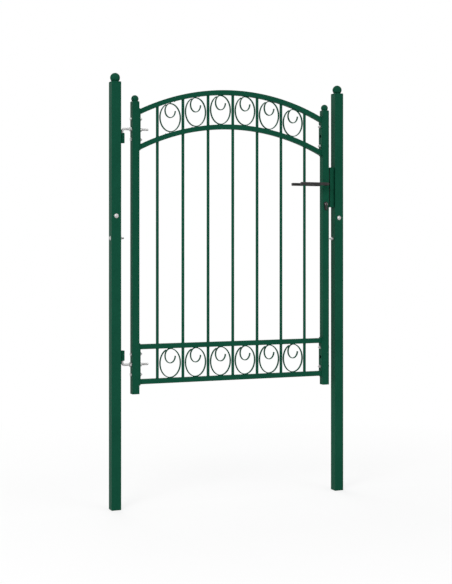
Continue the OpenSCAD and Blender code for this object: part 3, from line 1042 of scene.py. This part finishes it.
def makeHexBolt():
    spec = plateBolt
    head = hexBlank("hexModel", spec["across"], spec["headHeight"], False)
    head.rotation_euler = (pi, 0, 0)  # chamfered end away from the shank
    settle(head)
    profile = boltShank(-spec["shankSink"], spec["threadFrom"], spec["length"], spec["shank"])
    return joinPieces("hexModel", [head, turnPiece("hexShank", profile, fastener["sides"])])


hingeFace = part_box("hinge_stile")[0].x
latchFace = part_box("latch_stile")[1].x
plateBoltPlaces = []
for z in plateMiddles:
    for level in (z - plateBolt["offset"], z + plateBolt["offset"]):
        plateBoltPlaces += [((hingeFace, 0, level), alongX), ((latchFace, 0, level), againstX)]
setFasteners("plateHexBolts", makeHexBolt(), plateBoltPlaces, "plate_bolts", angle=25, flats=False)
setFasteners("plateHexNuts", makeNut(**smallNut), pastGrip(plateBoltPlaces, plateBolt["grip"]), "plate_nuts",
             angle=25)
print("plate bolts built")


# bent hinge bolts with a rolled thread and a nut on each side of the stile
hingeBolt = {
    "radius": 5.0, "bend": 10.0, "bendSteps": 14, "sides": 28, "tip": 1.2,
    "threadFrom": 0.96, "threadTo": 82.0, "runout": 1.2, "pitch": 1.5, "depth": 0.5,
}


# way is 1 for a pin that points up and -1 for one that points down
def buildHingeBolt(name, node, way):
    spec = hingeBolt
    radius, bend, tip = spec["radius"], spec["bend"], spec["tip"]
    lo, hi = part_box(node)
    level = (lo.z if way > 0 else hi.z) + way * radius * mm
    axisX = lo.x + radius * mm
    turnX = axisX + bend * mm
    pin = (hi.z - lo.z) / mm - radius
    profile = [(0.0, radius - tip)]
    profile += threadRings(spec["threadFrom"], spec["threadTo"], radius, spec["pitch"], spec["depth"])
    profile += [(spec["threadTo"] + spec["runout"], radius), ((hi.x - turnX) / mm, radius)]
    bolt = standPiece(turnPiece(name, profile, spec["sides"]), (hi.x, 0, level), againstX)
    openEdit(bolt)
    pickParts(bolt, "FACE", lambda f: f.normal.x < -0.99 and f.calc_center_median().x < turnX + 0.1 * mm)
    # spin turns against the right-hand rule
    bpy.ops.mesh.spin(steps=spec["bendSteps"], angle=radians(90),
                      center=(turnX, 0, level + way * bend * mm), axis=(0, -way, 0))
    pushOut((0, 0, way * (pin - bend - tip) * mm))
    share = (radius - tip) / radius
    pushOut((0, 0, way * tip * mm), (share, share, 1), (axisX, 0, level + way * pin * mm))
    sealShell()
    finishPiece(bolt, node, finish=zinc, flats=False)


buildHingeBolt("upperHingeBolt", "upper_hinge_bolt", -1)
buildHingeBolt("lowerHingeBolt", "lower_hinge_bolt", 1)
hingeNutPlaces = []
for z in plateMiddles:
    hingeNutPlaces += [((hingeFace, 0, z), againstX), ((railLo.x, 0, z), alongX)]
setFasteners("hingeBoltNuts", makeNut(**largeNut), hingeNutPlaces, "hinge_nuts", angle=25)
print("hinge bolts built")


# lock faceplate with two countersunk screws, and the latch flush in it
facePlate = {
    "corner": 2.5 * mm, "cornerSteps": 4, "edge": 0.3 * mm, "latchGap": (4.0, 0.3, 0.3),
    "latchEdge": 0.6 * mm, "screwInset": 9.0 * mm, "screwRadius": 3.6,
    "recess": (1.0, 0.5), "recessReach": 0.62, "recessTurns": (20.0, 110.0),
    "sink": ((-1.4, 0.5), (0.0, 1.0), (1.0, 1.0)),  # height, and share of the radius
    "screw": ((-1.3, 0.4), (-0.15, 0.93), (-0.05, 0.85)),
}


def buildFaceplate():
    spec = facePlate
    lo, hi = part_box("lock_faceplate")
    plate = startBlock("lockFaceplate", lo, hi)
    roundEdges(plate, lambda e: runsAlong(e, 0), spec["corner"], spec["cornerSteps"])
    roundEdges(plate, lambda e: bothAt(e, 0, hi.x), spec["edge"], 2)
    gap = Vector(spec["latchGap"]) * mm
    carve(plate, startBlock("latchGap", latchLo - gap, latchHi + gap))
    radius = spec["screwRadius"]
    sink, screw = ([(up, radius * share) for up, share in spec[key]] for key in ("sink", "screw"))
    half = Vector((*spec["recess"], radius * spec["recessReach"])) * mm
    parts = [plate]
    for z in (lo.z + spec["screwInset"], hi.z - spec["screwInset"]):
        place = (hi.x, 0, z)
        drillHole(plate, sink, place, alongX, fastener["sides"])
        head = standPiece(turnPiece("screw", screw, fastener["sides"]), place, alongX)
        for turn in spec["recessTurns"]:  # cross recess
            slot = startBlock("recess", -half, half)
            slot.rotation_euler = (radians(turn), 0, 0)
            carve(head, moveTo(slot, place))
        parts.append(head)
    return joinPieces("lockFaceplate", parts)


finishPiece(buildFaceplate(), "lock_faceplate", finish=steel, angle=30)
latchNose = startBlock("latchNose", latchLo, latchHi)
roundEdges(latchNose, lambda e: bothAt(e, 0, latchHi.x), facePlate["latchEdge"])
finishPiece(latchNose, "latch_bolt", finish=steel, angle=30)


# lock cylinder: round head with a narrow tail, a turning plug and a slim surround
lockBarrel = {
    "radius": 8.5, "tailWide": 10.0, "tailRound": 0.998, "tailSteps": 12, "tall": 33.0,
    "edge": 0.4 * mm, "surround": 2.0, "surroundProud": 1.2 * mm, "surroundEdge": 0.25 * mm,
    "surroundPlay": 0.05, "cutOver": 2.0 * mm,
    "keyWide": 3.4, "keyDeep": 6.0, "keyDown": 6.48, "keyUp": 4.32, "keyEdge": 0.5 * mm,
    "flatWithin": 0.5, "sharpFrom": 50.0,  # degrees
}


def barrelParts(name, grow, front, back):
    spec = lockBarrel
    radius = spec["radius"] + grow
    head = turnPiece(name, [(0, radius), ((back - front) / mm, radius)], sides=48)
    standPiece(head, (0, front, 0), alongY)
    half = (spec["tailWide"] / 2 + grow) * mm
    low = (spec["radius"] - spec["tall"] - grow) * mm
    tail = startBlock("tail", (-half, front, low), (half, back, 0))
    roundEdges(tail, lambda e: runsAlong(e, 1) and bothAt(e, 2, low), half * spec["tailRound"],
               spec["tailSteps"])
    return head, tail


def barrelBlank(name, grow, front, back):
    head, tail = barrelParts(name, grow, front, back)
    carve(head, tail, "UNION")
    return head


# clears the seams that carving leaves in flat faces, then breaks the sharp edges
def breakEdges(piece, width):
    openEdit(piece)
    mergeTwins(gap=sameSpot)
    bpy.ops.mesh.dissolve_limited(angle_limit=radians(lockBarrel["flatWithin"]))
    closeEdit()
    applyModifier(piece, "BEVEL", width=width, segments=2, limit_method="ANGLE",
                  angle_limit=radians(lockBarrel["sharpFrom"]))
    mergeAll(piece)


def keyBlock(faceY):
    spec = lockBarrel
    half, deep = spec["keyWide"] / 2 * mm, spec["keyDeep"] * mm
    low, high = -spec["keyDown"] * mm, spec["keyUp"] * mm
    key = startBlock("keyway", (-half, faceY - deep, low), (half, faceY + deep, high))
    roundEdges(key, lambda e: runsAlong(e, 1), spec["keyEdge"])
    return key


cylinderLo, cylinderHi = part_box("lock_cylinder")
lockPlace = ((cylinderLo.x + cylinderHi.x) / 2, 0, cylinderHi.z - lockBarrel["radius"] * mm)
stileLo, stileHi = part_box("latch_stile")

barrel = barrelBlank("lockBarrelBody", 0.0, cylinderLo.y, cylinderHi.y)
for faceY in (cylinderLo.y, cylinderHi.y):
    carve(barrel, keyBlock(faceY))
breakEdges(barrel, lockBarrel["edge"])
moveTo(barrel, lockPlace)
finishPiece(barrel, "lock_cylinder", finish=lacquer, angle=35)


def buildSurround(name, front, back):
    over = lockBarrel["cutOver"]
    ring = barrelBlank(name, lockBarrel["surround"], front, back)
    for cutter in barrelParts("surroundHole", lockBarrel["surroundPlay"], front - over, back + over):
        carve(ring, cutter)
    breakEdges(ring, lockBarrel["surroundEdge"])
    return moveTo(ring, lockPlace)


proud = lockBarrel["surroundProud"]
surrounds = [buildSurround("surroundFront", stileLo.y - proud, stileLo.y),
             buildSurround("surroundRear", stileHi.y, stileHi.y + proud)]
finishPiece(joinPieces("lockSurrounds", surrounds), finish=lacquer, angle=35)


plugShape = {
    "radius": 6.2,
    "face": ((-2.0, 0.0), (0.25, 0.0), (0.5, 0.3), (0.5, 1.4), (0.3, 1.7), (0.3, 5.8)),  # height, inset
}


def buildPlug(name, faceY, way):
    profile = [(height, plugShape["radius"] - inset) for height, inset in plugShape["face"]]
    plug = standPiece(turnPiece(name, profile, sides=40), (0, faceY, 0), (0, way, 0))
    carve(plug, keyBlock(faceY))
    return moveTo(plug, lockPlace)


plugs = [buildPlug("plugFront", cylinderLo.y, -1), buildPlug("plugRear", cylinderHi.y, 1)]
finishPiece(joinPieces("lockPlugs", plugs), finish=nickel, angle=30)
print("lock built")


# levers: a bar with rounded edges carried out from the stile and round an elbow
leverShape = {
    "thick": 13.0, "tall": 12.5, "edge": 2.5, "edgeSteps": 5, "gap": 0.3, "stand": 28.5, "length": 134.0,
    "elbow": 13.0, "elbowSteps": 10, "tip": 1.8, "tipRings": 4,
    "neck": ((1.6, 1.0), (2.1, 0.90), (2.7, 0.90), (3.3, 0.97)),  # distance, share of section
    "neckShare": 0.97,
    "arm": ((24.0, 0.98), (45.0, 0.98), (75.0, 0.98), (100.0, 0.99)),
}


def leverArm():
    tip, half = leverShape["tip"], leverShape["tall"] / 2
    tipFrom = leverShape["length"] - tip
    arm = [*leverShape["arm"], (tipFrom, 1.0)]
    for ring in range(1, leverShape["tipRings"] + 1):
        tilt = radians(90.0) * ring / leverShape["tipRings"]
        arm.append((tipFrom + tip * sin(tilt), 1 - tip * (1 - cos(tilt)) / half))
    return arm


def buildLever(name, node, way):
    spec = leverShape
    elbow, stand = spec["elbow"], spec["stand"]
    neckEnd = stand - elbow
    lo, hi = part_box(node)
    lever = startSection(name, spec["thick"] * mm, spec["tall"] * mm, spec["edge"] * mm, spec["edgeSteps"],
                         (0, way * spec["gap"] * mm, 0), (radians(90), 0, 0))
    last, reach = 1.0, spec["gap"]
    for out, share in (*spec["neck"], (neckEnd, spec["neckShare"])):
        pushOut((0, way * (out - reach) * mm, 0), (share / last, 1, share / last), (0, way * out * mm, 0))
        last, reach = share, out
    bpy.ops.mesh.spin(steps=spec["elbowSteps"], angle=radians(90),
                      center=(-elbow * mm, way * neckEnd * mm, 0), axis=(0, 0, -way))
    reach = elbow
    for out, share in leverArm():
        about = (-out * mm, way * stand * mm, 0)
        pushOut(((reach - out) * mm, 0, 0), (1, share / last, share / last), about)
        last, reach = share, out
    sealShell(gap=1e-7)
    faceY = stileLo.y if way < 0 else stileHi.y
    moveTo(lever, (hi.x - spec["thick"] / 2 * mm, faceY, (lo.z + hi.z) / 2))
    finishPiece(lever, node, body="handle", finish=nylon, flats=False)


buildLever("frontLeverGrip", "front_lever", -1)
buildLever("rearLeverGrip", "rear_lever", 1)
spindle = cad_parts["spindle"]
spindle.data.materials.clear()
spindle.data.materials.append(steel)
print("levers built")


# pale floor, white surround and soft lamps
studio = {
    "middle": (0.5, 0.0, 0.0), "floorSize": 14.0, "floorDrop": 0.0004, "floorTone": (0.86, 0.86, 0.86),
    "floorRough": 0.9, "floorWhite": (0.70, 1.0), "fade": (0.9, 2.4),
    "skyRange": (-0.1, 0.8), "skyLight": (0.30, 0.80), "white": (1.0, 1.0, 1.0),
    "lamps": (
        ("keyLamp", (-3.2, -3.6, 4.2), 2.6, 130.0),
        ("fillLamp", (2.6, -4.4, 4.8), 3.0, 50.0),
        ("rearLamp", (0.6, 4.0, 3.8), 3.0, 70.0),
    ),
    "aim": (0.5, 0.0, 1.0),
}


# rays that see the white surround: the camera's, and those off metal or through glass
def rayShare(tree):
    rays = addNode(tree, "LightPath").outputs
    seen = mathNode(tree, "MAXIMUM", rays["Is Camera Ray"], rays["Is Glossy Ray"])
    return mathNode(tree, "MAXIMUM", seen, rays["Is Transmission Ray"])


def showMix(tree, share, lit, glowing, output):
    mix = addNode(tree, "MixShader", Fac=share)
    feed(tree, mix.inputs[1], lit)
    feed(tree, mix.inputs[2], glowing)
    feed(tree, tree.nodes[output].inputs["Surface"], mix.outputs["Shader"])


def setFloor():
    clearPick()
    spot = Vector(studio["middle"]) - Vector(upward) * studio["floorDrop"]
    bpy.ops.mesh.primitive_plane_add(size=studio["floorSize"], location=spot)
    floor = takeUp("studioFloor")
    finish, tree, place = newFinish("floorPaper")
    shader = tree.nodes["Principled BSDF"]
    feedAll(tree, shader, {"Base Color": studio["floorTone"], "Roughness": studio["floorRough"],
                           "Specular IOR Level": 0.0})
    away = vectorNode(tree, "DISTANCE", place, studio["middle"], "Value")
    far = rangeNode(tree, away, *studio["fade"], *studio["floorWhite"])
    glow = addNode(tree, "Emission", Strength=1.0)
    share = mathNode(tree, "MULTIPLY", rayShare(tree), far)
    showMix(tree, share, shader.outputs["BSDF"], glow.outputs["Emission"], "Material Output")
    floor.data.materials.append(finish)


def setWorld():
    world = bpy.data.worlds.new("paleRoom")
    scene.world = world
    world.use_nodes = True
    tree = world.node_tree
    height = splitNode(tree, addNode(tree, "TexCoord").outputs["Generated"])["Z"]
    light = rangeNode(tree, height, *studio["skyRange"], *studio["skyLight"])
    room = feedAll(tree, tree.nodes["Background"], {"Color": studio["white"], "Strength": light})
    white = addNode(tree, "Background", Color=studio["white"], Strength=1.0)
    showMix(tree, rayShare(tree), room.outputs["Background"], white.outputs["Background"], "World Output")


def setLamps():
    for name, place, size, power in studio["lamps"]:
        data = bpy.data.lights.new(name, "AREA")
        data.shape = "DISK"
        data.size = size
        data.energy = power
        lamp = bpy.data.objects.new(name, data)
        lamp.location = place
        lamp.rotation_euler = (Vector(studio["aim"]) - Vector(place)).to_track_quat("-Z", "Y").to_euler()
        scene.collection.objects.link(lamp)


setFloor()
setWorld()
setLamps()
scene.view_settings.view_transform = "Standard"
print("studio set")
